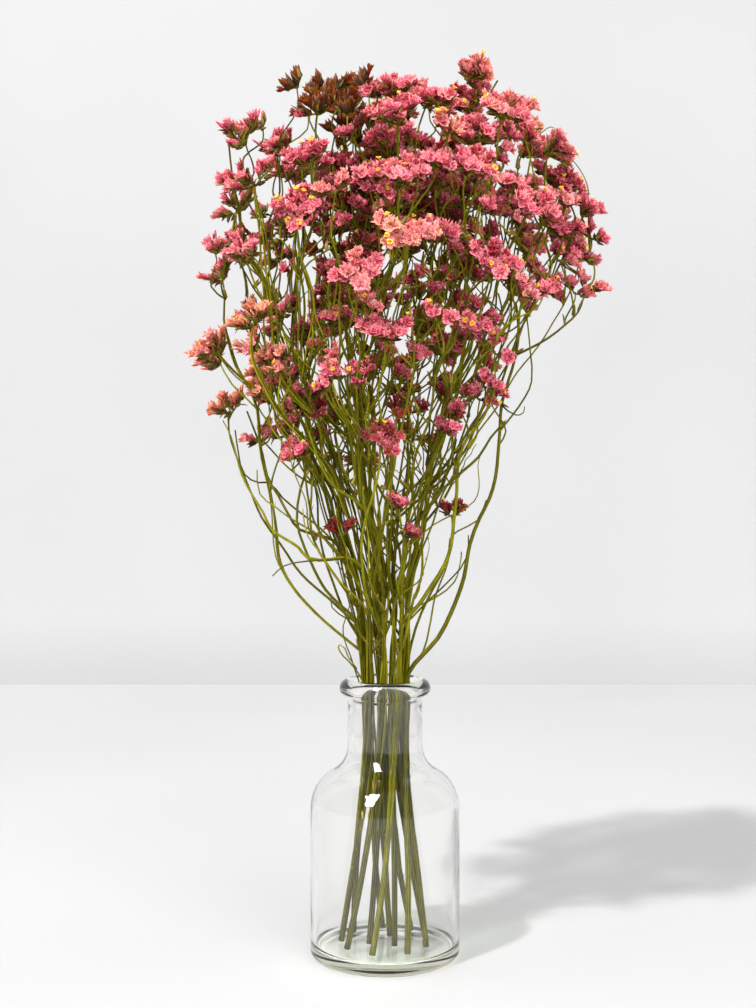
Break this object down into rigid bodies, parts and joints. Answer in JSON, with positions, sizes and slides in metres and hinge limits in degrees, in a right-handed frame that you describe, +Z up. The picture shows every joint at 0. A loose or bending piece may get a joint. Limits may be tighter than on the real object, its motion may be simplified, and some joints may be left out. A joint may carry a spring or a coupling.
{
  "type": "dried statice bunch in a glass bottle vase",
  "caption": "Airy bunch of dried pink statice: branching green stems with papery flower heads, standing in a clear glass bottle vase with a rolled lip.",
  "frame": {"origin": "centre of the vase's flat underside", "axes": "+Z up along the vase's axis; +X to the right seen from the front; +Y away from the viewer"},
  "size_m": [0.2007, 0.166, 0.4173],
  "materials": {
    "clear_glass": "smooth blown glass, faintly green where it is thick",
    "dried_stem": "dried olive-green stem, finely ribbed",
    "pink_calyx": "dry, papery, pleated",
    "yellow_corolla": "dry, papery",
    "green_bract": "dry green-brown scale"
  },
  "bodies": {
    "root": {"vase": "clear_glass", "spray_01": "dried_stem", "spray_02": "dried_stem", "spray_03": "dried_stem", "spray_04": "dried_stem", "spray_05": "dried_stem", "spray_06": "dried_stem", "spray_07": "dried_stem", "spray_08": "dried_stem", "spray_09": "dried_stem", "spray_10": "dried_stem", "spray_11": "dried_stem", "spray_12": "dried_stem"}
  },
  "joints": []
}
